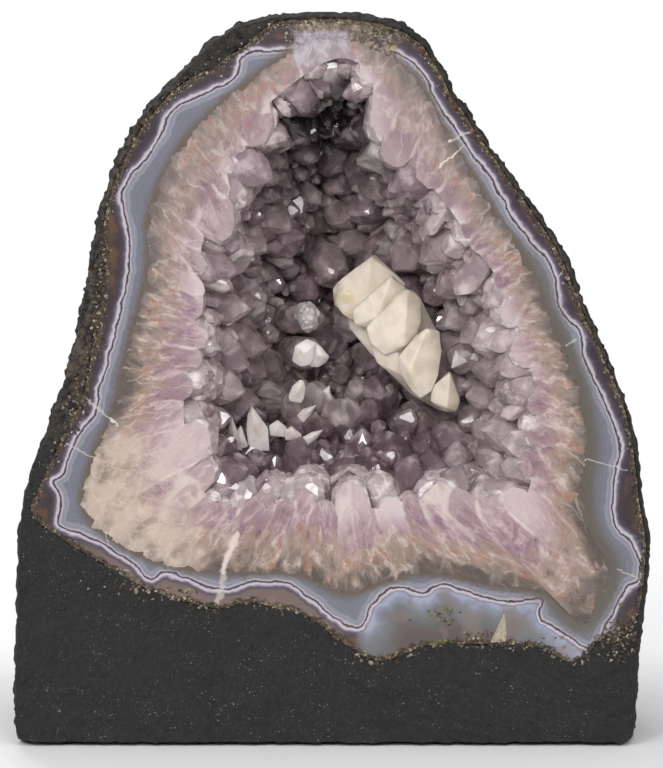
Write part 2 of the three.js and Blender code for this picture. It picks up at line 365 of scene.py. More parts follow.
def rounded(solid, bevel, segments):
    """The corners and faces of a solid with its shortest edges closed up and the others rounded."""
    mesh = bmesh.new()
    corners = [mesh.verts.new(point) for point in solid.corners]
    for face in solid.faces:
        mesh.faces.new([corners[i] for i in face])
    bmesh.ops.dissolve_degenerate(mesh, dist=2 * bevel, edges=mesh.edges)
    if len(mesh.faces) < 4:
        mesh.free()
        return solid.corners, solid.faces
    shortest = min(edge.calc_length() for edge in mesh.edges)
    bmesh.ops.bevel(
        mesh, geom=list(mesh.edges), offset=min(bevel, 0.4 * shortest), segments=segments,
        affect="EDGES", profile=0.5,
    )
    mesh.verts.index_update()
    points = np.array([v.co for v in mesh.verts])
    faces = [[v.index for v in face.verts] for face in mesh.faces]
    mesh.free()
    return points, faces


class Crystals:
    """Many crystals gathered into one mesh, with a shade kept for each."""

    def __init__(self):
        self.solids = []
        self.shades = []

    def add(self, solid, shade=0.5):
        if len(solid.faces) >= 4:
            self.solids.append(solid)
            self.shades.append(shade)

    def mesh(self, name, bevel=0, segments=1):
        points, faces, shades = [], [], []
        for solid, shade in zip(self.solids, self.shades):
            corners, sides = rounded(solid, bevel, segments) if bevel else solid[:2]
            faces += [[len(shades) + i for i in side] for side in sides]
            points.append(corners)
            shades += [shade] * len(corners)
        data = bpy.data.meshes.new(name)
        data.from_pydata((np.vstack(points) * MM).tolist(), [], faces)
        store(data, "shade", np.array(shades))
        return data


def nearest_crystal(solids, points):
    """The crystal that each point belongs to, and how far its edge with the next one is."""
    best = np.full(len(points), np.inf)
    second = best.copy()
    owner = np.zeros(len(points), int)
    for index, solid in enumerate(solids):
        outside = (points @ solid.normals.T - solid.offsets).max(axis=1)
        closer = outside < best
        second = np.where(closer, best, np.minimum(second, outside))
        owner = np.where(closer, index, owner)
        best = np.where(closer, outside, best)
    return owner, second - best


def cut_reach(solids, angles, widest):
    """How near to the centre the crystals come where the sawn face cuts them."""
    ways = np.stack([np.cos(angles), np.zeros(len(angles)), np.sin(angles)], axis=1)
    start = np.array([CENTRE[0], FRONT, CENTRE[1]])
    nearest = widest.copy()
    for solid in solids:
        rates = ways @ solid.normals.T
        limits = (solid.offsets - solid.normals @ start) / np.where(rates == 0, 1e-9, rates)
        enters = np.where(rates < 0, limits, -np.inf).max(axis=1)
        leaves = np.where(rates > 0, limits, np.inf).min(axis=1)
        hit = (enters > 0) & (enters < leaves)
        nearest = np.where(hit, np.minimum(nearest, enters), nearest)
    return nearest


# ---- Materials --------------------------------------------------------------------------------

def srgb(red, green, blue):
    """A linear colour from the usual 0 to 255 values."""
    def linear(value):
        value /= 255
        return value / 12.92 if value <= 0.04045 else ((value + 0.055) / 1.055) ** 2.4
    return (linear(red), linear(green), linear(blue), 1.0)


class Shader:
    """A material and the nodes that feed its Principled BSDF."""

    def __init__(self, name):
        self.material = bpy.data.materials.new(name)
        self.material.use_nodes = True
        self.tree = self.material.node_tree
        self.surface = self.tree.nodes["Principled BSDF"]
        self.output = self.tree.nodes["Material Output"]

    def feed(self, socket, value):
        if isinstance(value, bpy.types.NodeSocket):
            self.tree.links.new(value, socket)
        else:
            socket.default_value = value

    def add(self, kind, inputs, **settings):
        node = self.tree.nodes.new("ShaderNode" + kind)
        for name, value in settings.items():
            setattr(node, name, value)
        for name, value in inputs.items():
            self.feed(node.inputs[name], value)
        return node

    def set(self, **values):
        for name, value in values.items():
            self.feed(self.surface.inputs[name.replace("_", " ")], value)

    def attribute(self, name, output="Fac"):
        return self.add("Attribute", {}, attribute_name=name).outputs[output]

    def place(self):
        """Where a point is, in millimetres."""
        where = self.add("TexCoord", {}).outputs["Object"]
        return self.add("VectorMath", {0: where, 1: (1 / MM,) * 3}, operation="MULTIPLY").outputs[0]

    def stretched(self, vector, sizes):
        """A vector divided by a size along each axis."""
        factors = tuple(1 / s for s in sizes)
        return self.add("VectorMath", {0: vector, 1: factors}, operation="MULTIPLY").outputs[0]

    def moved(self, vector, by, amount):
        """A vector shifted by a colour noise, to break up straight lines."""
        centred = self.add("VectorMath", {0: by, 1: (0.5,) * 3}, operation="SUBTRACT").outputs[0]
        shift = self.add("VectorMath", {0: centred, 1: (amount,) * 3}, operation="MULTIPLY").outputs[0]
        return self.add("VectorMath", {0: vector, 1: shift}, operation="ADD").outputs[0]

    def noise(self, vector, size=1.0, detail=3.0, roughness=0.55, output="Fac", distortion=0.0):
        inputs = {
            "Vector": vector, "Scale": 1 / size, "Detail": detail, "Roughness": roughness,
            "Distortion": distortion,
        }
        return self.add("TexNoise", inputs).outputs[output]

    def cells(self, vector, size=1.0, feature="F1"):
        inputs = {"Vector": vector, "Scale": 1 / size}
        return self.add("TexVoronoi", inputs, feature=feature).outputs["Distance"]

    def maths(self, operation, first, second=0.0, clamp=False):
        return self.add("Math", {0: first, 1: second}, operation=operation, use_clamp=clamp).outputs[0]

    def step(self, value, low, high, to_low=0.0, to_high=1.0):
        """A smooth step of a value from low to high."""
        inputs = {
            "Value": value, "From Min": low, "From Max": high, "To Min": to_low, "To Max": to_high,
        }
        return self.add("MapRange", inputs, interpolation_type="SMOOTHSTEP").outputs["Result"]

    def step_linear(self, value, low, high):
        """A straight climb of a value from low to high."""
        inputs = {"Value": value, "From Min": low, "From Max": high}
        return self.add("MapRange", inputs).outputs["Result"]

    def mix(self, share, first, second, blend="MIX"):
        node = self.add("Mix", {}, data_type="RGBA", blend_type=blend)
        self.feed(node.inputs["Factor"], share)
        self.feed(node.inputs[6], first)
        self.feed(node.inputs[7], second)
        return node.outputs[2]

    def ramp(self, value, low, high, stops):
        """A colour for a value, from (value, colour) stops between low and high."""
        share = self.step_linear(value, low, high)
        node = self.add("ValToRGB", {"Fac": share})
        elements = node.color_ramp.elements
        while len(elements) < len(stops):
            elements.new(0.5)
        for element, (at, colour) in zip(elements, stops):
            element.position = (at - low) / (high - low)
            element.color = colour
        return node.outputs["Color"]

    def product(self, *values):
        """Several values multiplied together."""
        total = values[0]
        for value in values[1:]:
            total = self.maths("MULTIPLY", total, value)
        return total

    def sway(self, value, noise_value, amount):
        """A value moved up and down by a noise about its middle."""
        centred = self.maths("SUBTRACT", noise_value, 0.5)
        return self.maths("ADD", value, self.maths("MULTIPLY", centred, amount))

    def part(self, place, axis):
        return self.add("SeparateXYZ", {"Vector": place}).outputs[axis]

    def across(self, place):
        return self.part(place, "X")

    def up(self, place):
        return self.part(place, "Z")

    def behind(self, place):
        """How far a point is behind the sawn face."""
        return self.maths("SUBTRACT", self.part(place, "Y"), float(FRONT))

    def cracks(self, place):
        """1 on the healed cracks of the sawn face, and 0 away from them."""
        bent = self.moved(place, self.noise(place, 2.5, 3, output="Color"), 3.0)
        flat = self.add("VectorMath", {0: bent, 1: (1, 0, 1)}, operation="MULTIPLY").outputs[0]
        total = 0.0
        for start, end, width in CRACKS:
            start, end = (Vector((x, 0, z)) for x, z in (start, end))
            along = end - start
            arm = self.add("VectorMath", {0: flat, 1: start}, operation="SUBTRACT").outputs[0]
            onto = along / along.length_squared
            share = self.add("VectorMath", {0: arm, 1: onto}, operation="DOT_PRODUCT").outputs["Value"]
            share = self.maths("ADD", share, 0.0, clamp=True)
            foot = self.add("VectorMath", {0: along, "Scale": share}, operation="SCALE").outputs[0]
            away = self.add("VectorMath", {0: arm, 1: foot}, operation="DISTANCE").outputs["Value"]
            total = self.maths("MAXIMUM", total, self.step(away, width, width * 0.2))
        return total

    def bump(self, height, strength, distance):
        inputs = {"Height": height, "Strength": strength, "Distance": distance * MM}
        return self.add("Bump", inputs).outputs["Normal"]

    def absorb(self, colour, density):
        """Plain absorption of light inside the body, per metre."""
        inputs = {"Color": colour, "Density": density}
        volume = self.add("VolumeAbsorption", inputs).outputs["Volume"]
        self.feed(self.output.inputs["Volume"], volume)


# Healed cracks across the sawn face: where each starts and ends, and half its width.
CRACKS = [
    ((-82, 116.5), (-69.5, 106), 0.5), ((-86, 100), (-77, 95), 0.4), ((-73.5, 71), (-73, 66.5), 0.3),
    ((-31, 70), (-35, 60), 1.6), ((-35, 60), (-36, 51), 1.3), ((-36, 51), (-38.5, 46), 1.6),
    ((83, 95), (96, 91.5), 0.4), ((93.5, 59), (101.5, 55), 0.4), ((38, 198.5), (47, 203), 0.5),
    ((35, 190), (43, 197), 0.5), ((74, 154.5), (76.5, 157.5), 0.4), ((76, 132), (79.5, 134), 0.5),
]


def cement_material():
    """Black painted cement: matt, with grains, pits and a few pale specks."""
    s = Shader("black_cement")
    place = s.place()
    broad = s.noise(place, 14, 4)
    grain = s.noise(place, 0.8, 3, 0.7)
    pits = s.cells(s.moved(place, s.noise(place, 1.5, 2, output="Color"), 1.0), 1.7)
    base = s.mix(broad, srgb(30, 30, 30), srgb(42, 41, 41))
    base = s.mix(s.step(grain, 0.5, 0.72, 0, 0.6), base, srgb(62, 59, 57))
    specks = s.step(s.noise(place, 0.6, 1), 0.69, 0.75)
    patches = s.step(s.noise(place, 9, 2), 0.45, 0.6)
    base = s.mix(s.product(specks, patches), base, srgb(140, 134, 126))
    worn = s.product(
        s.step(s.up(place), 92, 120), s.step(s.up(place), 225, 200, 0.3, 1), s.step(s.behind(place), 7, 1),
    )
    worn = s.product(worn, s.step(s.noise(place, 3, 4, 0.7), 0.4, 0.62, 0, 0.8))
    base = s.mix(worn, base, srgb(88, 77, 67))
    s.set(Base_Color=base, Roughness=0.85, Specular_IOR_Level=0.25)
    height = s.maths("ADD", s.maths("MULTIPLY", grain, 0.7), s.step(pits, 0.0, 0.4))
    s.set(Normal=s.bump(height, 0.5, 0.35))
    return s.material


def agate_bands(s, place):
    """The stripes of the agate, by their distance inside or outside the white one."""
    band = s.sway(s.attribute("band"), s.noise(place, 6, 2), 2.4)
    band = s.sway(band, s.noise(place, 2.2, 2), 1.1)
    outer = s.ramp(band, -12, 0, [
        (-12, srgb(84, 68, 56)), (-7, srgb(66, 54, 49)), (-3.0, srgb(54, 45, 50)),
        (-1.7, srgb(66, 58, 68)), (-1.0, srgb(96, 87, 99)), (-0.6, srgb(150, 143, 154)),
        (-0.3, srgb(178, 171, 180)), (0, srgb(176, 169, 179)),
    ])
    inner = s.ramp(band, 0, 16, [
        (0, srgb(176, 169, 179)), (0.15, srgb(160, 152, 162)), (0.35, srgb(64, 53, 59)),
        (0.75, srgb(72, 61, 67)), (0.95, srgb(164, 157, 166)), (1.3, srgb(152, 148, 158)),
        (1.9, srgb(118, 118, 129)), (2.4, srgb(134, 135, 146)), (3.4, srgb(106, 107, 118)),
        (16, srgb(98, 97, 104)),
    ])
    colour = s.mix(s.step_linear(band, -0.01, 0.01), outer, inner)
    lines = s.noise(s.add("CombineXYZ", {"X": band}).outputs[0], 0.5, 2, 0.6)
    fine = s.product(s.step(lines, 0.45, 0.7), s.step(band, 2.6, 3.6, 0, 0.35))
    return band, s.mix(fine, colour, srgb(134, 136, 150))


def agate_pool(s, place, band):
    """The clouded pool of blue-white chalcedony under the stripe, and how much it shows."""
    x, z = s.across(place), s.up(place)
    inside = s.product(s.step(x, 7, 12), s.step(x, 94, 88), s.step(z, 57, 54), s.step(band, -0.7, -1.3))
    clouds = s.noise(place, 7, 3, 0.5)
    depth = s.sway(band, clouds, 9.0)
    colour = s.ramp(depth, -14, 0, [
        (-14, srgb(84, 72, 68)), (-10, srgb(92, 90, 90)), (-6, srgb(106, 108, 110)),
        (-3.2, srgb(126, 130, 146)), (-1.4, srgb(148, 152, 172)), (0, srgb(140, 142, 158)),
    ])
    pink = s.step(s.noise(place, 9, 2), 0.54, 0.66, 0, 0.5)
    return inside, s.mix(pink, colour, srgb(122, 103, 96))


def agate_material():
    """Banded agate, sawn and polished, from the brown rind to the first quartz."""
    s = Shader("banded_agate")
    place = s.place()
    band, colour = agate_bands(s, place)
    amber = s.product(s.step(s.noise(place, 7, 2), 0.48, 0.62), s.step(band, -2.2, -3.6, 0, 0.55))
    colour = s.mix(amber, colour, srgb(106, 74, 51))
    dusk = s.product(s.step(s.noise(place, 9, 2), 0.5, 0.4), s.step(band, -1.9, -3.2, 0, 0.6))
    colour = s.mix(dusk, colour, srgb(54, 45, 50))
    low = s.product(s.step(s.up(place), 72, 62), s.step(s.across(place), 8, -2))
    low = s.product(low, s.step(band, -1.2, -2.4, 0, 0.6))
    colour = s.mix(low, colour, srgb(128, 110, 104))
    inside, pool = agate_pool(s, place, band)
    colour = s.mix(inside, colour, pool)
    fuzz = s.sway(s.attribute("to_quartz"), s.noise(place, 1.6, 4, 0.7), 3.5)
    right = s.step(s.across(place), 58, 76)
    colour = s.mix(s.step(fuzz, -3.0, 0.4), colour, srgb(96, 84, 75))
    colour = s.mix(s.product(right, s.step(fuzz, -6.5, -1.0)), colour, srgb(92, 86, 79))
    colour = s.mix(top_gap(s, place), colour, top_rock(s, place))
    colour = s.mix(s.maths("MULTIPLY", s.cracks(place), 0.6), colour, srgb(190, 182, 175))
    rind = s.sway(s.attribute("from_edge"), s.noise(place, 2.4, 4, 0.75), -7.0)
    crust = s.ramp(s.noise(place, 1.3, 4, 0.7), 0.3, 0.7, [
        (0.3, srgb(38, 34, 31)), (0.48, srgb(66, 54, 44)), (0.58, srgb(110, 94, 74)),
        (0.7, srgb(192, 178, 152)),
    ])
    crust = s.mix(moss(s, place), crust, srgb(104, 106, 62))
    edge = s.step(rind, 1.5, 0.9)
    colour = s.mix(edge, colour, crust)
    s.set(Base_Color=colour, Roughness=s.step_linear(edge, -0.25, 1.3), IOR=1.54)
    s.set(Subsurface_Weight=0.15, Subsurface_Scale=1.0 * MM, Subsurface_Radius=(1.0, 0.8, 0.7))
    s.set(Normal=s.bump(s.product(s.noise(place, 0.8, 3, 0.7), edge), 0.9, 0.6))
    return s.material


def top_gap(s, place):
    """How much of the stripe is broken away at the top of the ring."""
    x = s.sway(s.across(place), s.noise(place, 3, 3), 9.0)
    return s.product(s.step(x, -14, -10), s.step(x, 24, 19), s.step(s.up(place), 219, 223))


def top_rock(s, place):
    """What shows there: a milky blue-white block, yellow stains and dark crust on the right."""
    x, z = s.across(place), s.up(place)
    rough_place = s.moved(place, s.noise(place, 2.5, 4, output="Color"), 4.0)
    grain = s.noise(rough_place, 1.6, 4, 0.7)
    rock = s.mix(s.step(grain, 0.36, 0.66), srgb(80, 69, 61), srgb(150, 132, 120))
    block = s.product(s.step(x, -13, -11.5), s.step(x, 6.5, 4.5), s.step(z, 234.5, 232.5))
    milk = s.mix(s.step(grain, 0.36, 0.64), srgb(128, 120, 126), srgb(166, 160, 170))
    rock = s.mix(s.maths("MULTIPLY", block, 0.85), rock, milk)
    dark = s.product(s.step(x, 10, 14), s.step(x, 22, 19), s.step(z, 223, 226), s.step(grain, 0.66, 0.42))
    rock = s.mix(dark, rock, srgb(62, 56, 54))
    yellow = s.product(s.step(s.noise(place, 4, 2), 0.5, 0.6), s.step(z, 231, 227))
    return s.mix(s.maths("MULTIPLY", yellow, 0.7), rock, srgb(170, 156, 108))


def quartz_colour(s, place):
    """The sawn quartz from the agate to the points: its zones, stains, clouds and pale veins."""
    column = s.attribute("column", "Vector")
    wavy = s.moved(column, s.noise(place, 6, 2, output="Color"), 5.0)
    growth = s.sway(s.attribute("growth"), s.noise(s.stretched(wavy, (5, 5, 9)), 1, 3, 0.6), 0.7)
    colour = s.ramp(growth, 0, 1.1, [
        (0, srgb(80, 70, 64)), (0.07, srgb(98, 85, 77)), (0.18, srgb(130, 113, 102)),
        (0.32, srgb(146, 124, 114)), (0.46, srgb(144, 117, 117)), (0.6, srgb(143, 115, 123)),
        (0.75, srgb(159, 135, 139)), (1.1, srgb(172, 152, 154)),
    ])
    stain = s.step(s.noise(s.stretched(wavy, (5, 5, 6)), 1, 2), 0.52, 0.66, 0, 0.6)
    stain = s.product(stain, s.step(growth, 0.1, 0.22), s.step(growth, 0.5, 0.36))
    colour = s.mix(stain, colour, srgb(148, 101, 72))
    violet = s.product(s.step(growth, 0.36, 0.48), s.step(growth, 0.78, 0.6))
    veil = s.product(violet, s.step(s.noise(s.stretched(wavy, (4, 4, 5)), 1, 4, 0.65), 0.44, 0.66, 0, 0.75))
    colour = s.mix(veil, colour, srgb(124, 84, 116))
    specks = s.product(violet, s.step(s.noise(wavy, 1.5, 3, 0.65), 0.56, 0.68, 0, 0.7))
    colour = s.mix(specks, colour, srgb(96, 60, 80))
    clouds = s.noise(s.stretched(wavy, (3.4, 3.4, 5.5)), 1, 5, 0.7)
    pale = s.product(s.step(clouds, 0.48, 0.7, 0, 0.75), s.step(growth, 0.03, 0.2))
    colour = s.mix(pale, colour, srgb(196, 179, 174))
    colour = s.mix(s.step(clouds, 0.46, 0.28, 0, 0.7), colour, srgb(88, 73, 70))
    upper = s.step(s.up(place), 118, 200, 0, 0.4)
    colour = s.mix(upper, colour, srgb(118, 101, 101))
    grains = s.step(s.noise(place, 0.8, 3, 0.75), 0.6, 0.72, 0, 0.4)
    colour = s.mix(grains, colour, srgb(206, 192, 180))
    x, z = s.across(place), s.up(place)
    rust = s.product(s.step(x, -8, -14), s.step(z, 194, 204))
    rust = s.product(rust, s.step(s.noise(place, 2.5, 4), 0.48, 0.62, 0, 0.6))
    colour = s.mix(rust, colour, srgb(142, 98, 87))
    milk = s.mix(s.step(clouds, 0.36, 0.64), srgb(128, 118, 124), srgb(168, 160, 168))
    block = s.product(s.step(x, -13.5, -11), s.step(x, 7, 4.5), s.step(z, 221, 224, 0, 0.8))
    colour = s.mix(block, colour, milk)
    corner = s.product(s.step(x, -36, -52), s.step(z, 112, 96))
    cream = s.product(corner, s.step(s.noise(place, 8, 3), 0.36, 0.6, 0.2, 0.8))
    colour = s.mix(cream, colour, srgb(186, 168, 154))
    return colour, clouds, quartz_veins(s, place, wavy, corner)


def quartz_veins(s, place, wavy, corner):
    """Thin cream lines: the edges of grown-over crystals, closest together in one corner."""
    cells = s.cells(s.stretched(wavy, (9, 9, 17)), 1, feature="DISTANCE_TO_EDGE")
    strong = s.step(s.noise(place, 9, 2), 0.44, 0.64, 0, 0.35)
    veins = s.product(s.step(cells, 0.045, 0.0), strong)
    bent = s.moved(place, s.noise(place, 3, 3, output="Color"), 6.0)
    net = s.product(s.step(s.cells(bent, 6, feature="DISTANCE_TO_EDGE"), 0.07, 0.0), corner)
    lines = s.maths("MAXIMUM", s.maths("MAXIMUM", veins, s.maths("MULTIPLY", net, 0.3)), s.cracks(place))
    return s.maths("MULTIPLY", lines, 0.85)


def quartz_layer_material():
    """The body of the druse: sawn at the front, and dull on the wall of the cavity."""
    s = Shader("sawn_quartz")
    place = s.place()
    colour, clouds, veins = quartz_colour(s, place)
    growth = s.attribute("growth")
    tone = s.sway(0.0, s.attribute("shade"), 0.5)
    colour = s.mix(s.product(s.step(tone, 0.0, 0.25), s.step(growth, 0.3, 0.7)), colour, srgb(194, 177, 178))
    dark = s.product(s.step(tone, 0.0, -0.25), s.step(growth, 0.3, 0.7, 0, 0.5))
    colour = s.mix(dark, colour, srgb(138, 118, 122))
    seam = s.sway(s.attribute("seam"), s.noise(place, 1.5, 3), 1.2)
    seam = s.product(s.step(seam, 1.1, 0.2), s.step(growth, 0.3, 0.75, 0.15, 0.85))
    seam = s.product(seam, s.step(s.noise(place, 6, 2), 0.36, 0.54, 0.15, 1))
    seam = s.maths("MULTIPLY", seam, 0.75)
    colour = s.mix(s.maths("MAXIMUM", seam, veins), colour, srgb(208, 194, 188))
    inner = s.step(s.behind(place), 1, 8)
    colour = s.mix(inner, colour, s.mix(s.noise(place, 4, 4), srgb(128, 108, 113), srgb(176, 154, 157)))
    s.set(Base_Color=colour, Roughness=s.step_linear(clouds, -0.3, 2.0), IOR=1.544)
    s.set(Subsurface_Weight=0.2, Subsurface_Scale=2.0 * MM, Subsurface_Radius=(1.0, 0.85, 0.8))
    s.set(Normal=s.bump(s.maths("ADD", clouds, s.maths("ADD", veins, seam)), 0.35, 0.3))
    return s.material


def rim_quartz_material():
    """The grown faces of the rim's crystals: pale and milky, with painted shade: greyer further back and dark
    at the top of the cavity.
    """
    s = Shader("rim_quartz")
    place = s.place()
    depth_shade = s.step(s.behind(place), 2, 26)
    colour = s.mix(s.attribute("shade"), srgb(184, 164, 167), srgb(226, 212, 212))
    # Painted shade: the faces are mixed greyer the further back they lie in the cavity.
    colour = s.mix(s.maths("MULTIPLY", depth_shade, 0.6), colour, srgb(160, 140, 143))
    wisps = s.noise(place, 3.5, 3, 0.5, distortion=0.8)
    colour = s.mix(s.step(wisps, 0.5, 0.72, 0, 0.6), colour, srgb(236, 227, 225))
    clouds = s.step(s.noise(place, 5, 3, 0.6), 0.5, 0.66, 0, 0.5)
    colour = s.mix(clouds, colour, srgb(142, 116, 130))
    top_shade = s.product(s.step(s.up(place), 198, 210), s.step(s.behind(place), 1, 5))
    # Painted shade: crystals at the top of the cavity, just behind the face, are mixed nearly black where the
    # overhang shades them.
    colour = s.mix(s.maths("MULTIPLY", top_shade, 0.92), colour, srgb(66, 53, 56))
    s.set(Base_Color=colour, Transmission_Weight=s.step(wisps, 0.4, 0.68, 0.42, 0.12), IOR=1.544)
    s.set(Roughness=s.step_linear(s.noise(place, 3, 2), -0.1, 5.0))
    s.set(Subsurface_Weight=0.3, Subsurface_Scale=3 * MM, Subsurface_Radius=(1.0, 0.85, 0.85))
    s.set(Normal=s.bump(wisps, 0.12, 0.3))
    s.absorb((0.7, 0.6, 0.64, 1), 18.0)
    return s.material


def amethyst_material():
    """Pale grey-mauve amethyst, clear to milky, with smooth faces and cloudy roots, and painted shade: a
    little greyer deeper in the cavity and dark at its top.
    """
    s = Shader("amethyst_crystal")
    place = s.place()
    depth_shade = s.step(s.behind(place), 14, 70)
    colour = s.ramp(s.attribute("shade"), 0, 1, [
        (0, srgb(160, 136, 146)), (0.35, srgb(186, 164, 169)), (0.7, srgb(212, 192, 192)),
        (0.9, srgb(232, 216, 216)), (1, srgb(242, 232, 232)),
    ])
    # Painted shade: a little greyer the deeper the crystal lies in the cavity.
    colour = s.mix(s.maths("MULTIPLY", depth_shade, 0.15), colour, srgb(150, 126, 131))
    low = s.product(s.step(s.up(place), 112, 96), s.step(s.across(place), 50, 40))
    colour = s.mix(s.maths("MULTIPLY", low, 0.8), colour, srgb(122, 96, 108))
    milky = s.product(s.step(s.across(place), 28, 50), s.step(s.up(place), 170, 140, 0.2, 0.6))
    colour = s.mix(milky, colour, srgb(232, 214, 216))
    top_shade = s.product(s.step(s.up(place), 172, 204), s.step(s.behind(place), 1, 8))
    # Painted shade: dark under the overhang at the top of the cavity, near the face.
    colour = s.mix(s.maths("MULTIPLY", top_shade, 0.95), colour, srgb(66, 53, 56))
    wisps = s.noise(place, 6, 3, 0.5, distortion=0.4)
    colour = s.mix(s.step(wisps, 0.5, 0.7, 0, 0.35), colour, srgb(234, 222, 223))
    clouds = s.step(s.noise(place, 7, 3, 0.6), 0.5, 0.66, 0, 0.35)
    colour = s.mix(clouds, colour, srgb(140, 114, 128))
    clear = s.step(wisps, 0.4, 0.7, 0.62, 0.3)
    s.set(Base_Color=colour, Transmission_Weight=clear, IOR=1.544)
    s.set(Roughness=s.step_linear(s.noise(place, 3, 2), -0.1, 9.0))
    s.set(Normal=s.bump(s.noise(s.stretched(place, (2.5, 2.5, 0.8)), 1, 2), 0.05, 0.2))
    s.absorb((0.7, 0.58, 0.63, 1), 6.0)
    return s.material


def calcite_material(name, pale, dark, clear):
    """Cream calcite: waxy, with cleavage lines and yellow stains."""
    s = Shader(name)
    place = s.place()
    cloud = s.noise(place, 5, 4)
    leaves = s.noise(s.stretched(place, (6, 6, 0.7)), 1, 3)
    colour = s.mix(s.step(cloud, 0.35, 0.7), pale, dark)
    colour = s.mix(s.step(leaves, 0.5, 0.75, 0, 0.15), colour, srgb(232, 224, 210))
    x, z = s.across(place), s.up(place)
    stain = s.product(s.step(x, -1, 1), s.step(x, 10, 5), s.step(z, 136, 139), s.step(z, 151, 147))
    stain = s.product(stain, s.step(s.noise(place, 4, 2), 0.4, 0.56))
    colour = s.mix(s.maths("MULTIPLY", stain, 0.6), colour, srgb(206, 184, 128))
    s.set(Base_Color=colour, Roughness=s.step_linear(leaves, -0.6, 2.4), IOR=1.6)
    s.set(Transmission_Weight=clear, Subsurface_Weight=0.45, Subsurface_Scale=3.5 * MM)
    s.set(Subsurface_Radius=(1.0, 0.85, 0.6))
    s.set(Normal=s.bump(leaves, 0.08, 0.25))
    return s.material


def crust_material():
    """Grains of the rough rind: cream, brown and a little green."""
    s = Shader("rind_grains")
    place = s.place()
    colour = s.ramp(s.attribute("shade"), 0, 1, [
        (0, srgb(38, 35, 32)), (0.4, srgb(66, 56, 47)), (0.6, srgb(118, 101, 82)),
        (0.82, srgb(206, 193, 168)), (1, srgb(104, 94, 70)),
    ])
    colour = s.mix(s.noise(place, 0.6, 2), colour, srgb(58, 51, 44))
    colour = s.mix(moss(s, place), colour, srgb(104, 106, 62))
    s.set(Base_Color=colour, Roughness=0.8)
    s.set(Normal=s.bump(s.noise(place, 0.4, 3), 0.6, 0.2))
    return s.material


def moss(s, place):
    """How green the crust is: only at one spot under the pool and one at the top."""
    x, z = s.across(place), s.up(place)
    low = s.product(s.step(x, 28, 32), s.step(x, 46, 42), s.step(z, 60, 54))
    high = s.product(s.step(x, -10, -6), s.step(x, 22, 16), s.step(z, 225, 230))
    green = s.maths("MAXIMUM", low, s.maths("MULTIPLY", high, 0.4))
    return s.product(green, s.step(s.noise(place, 2, 2), 0.42, 0.6, 0, 0.8))


def floor_material():
    """A pale floor that fades out, so that it has no edge against the white surround, and glows behind the
    stone as painted light.
    """
    s = Shader("studio_floor")
    place = s.place()
    grain = s.noise(place, 60, 2)
    s.set(Base_Color=s.mix(grain, srgb(242, 242, 244), srgb(246, 246, 248)), Roughness=0.7)
    away = s.add("VectorMath", {0: place}, operation="LENGTH").outputs["Value"]
    s.set(Alpha=s.step(away, 520, 150))
    # Painted light: the floor glows more the further behind the face it lies, lifting the shade the stone
    # casts there.
    s.set(Emission_Color=(1, 1, 1, 1), Emission_Strength=s.step(s.behind(place), 40, 220, 0, 0.3))
    return s.material


# ---- Pieces -----------------------------------------------------------------------------------

BASE_LINE, HOLE_LINE = front_lines("cement_base")
STONE_LINE, QUARTZ_LINE = (evenly(smooth(line, 8), 1200) for line in front_lines("agate_shell"))
STRIPE_LINE = evenly(smooth(anticlockwise(STRIPE), 6), 500)
TIP_LINE = evenly(smooth(anticlockwise(TIPS), 16), 600)
ROOT_LINE = evenly(smooth(anticlockwise(ROOTS), 16), 600)

GAP = 0.3  # between the stone and the cement
EDGE_BREAK = 1.5  # bevel of the cement's front edge
BASE_POWER = 2.6  # superellipse of the base's side view
THIN_COAT = 1.1  # cement outside the stone at the top and the right
THIN_SIDE = math.radians(30)  # the middle of the side where the coat is thin
THIN_SHOULDER = math.radians(135)  # and of the left shoulder, where it is nearly as thin


def stone_reach(angles):
    """How far the stone goes from the centre: nearly to the edge except at the foot and the left."""
    stone = reach(STONE_LINE, angles)
    thin = reach(BASE_LINE, angles) - THIN_COAT
    share = rise(np.cos(angles - THIN_SIDE), 0.22, 0.38)
    share = np.maximum(share, 0.75 * rise(np.cos(angles - THIN_SHOULDER), 0.92, 0.98))
    return stone + share * np.maximum(thin - stone, 0)


def with_y(flat, y):
    """Points of the sawn face at a depth."""
    return np.stack([flat[:, 0], np.broadcast_to(y, len(flat)), flat[:, 1]], axis=1)


def dome(line, centre, depth, turns):
    """Rings of an outline that shrink about a centre towards the back, as a quarter ellipse."""
    return [
        with_y(centre + (line - centre) * math.cos(turn), FRONT + depth * math.sin(turn))
        for turn in turns
    ]


def quarter(steps):
    """Turns of a dome from just behind the front to just before its pole."""
    return np.linspace(0, np.pi / 2, steps, endpoint=False)[1:]


CEMENT_COLUMNS = 700
HOLLOW_RINGS = 12  # in the hollow, on the face and round the back
FACE_RINGS = 26
BACK_RINGS = 75


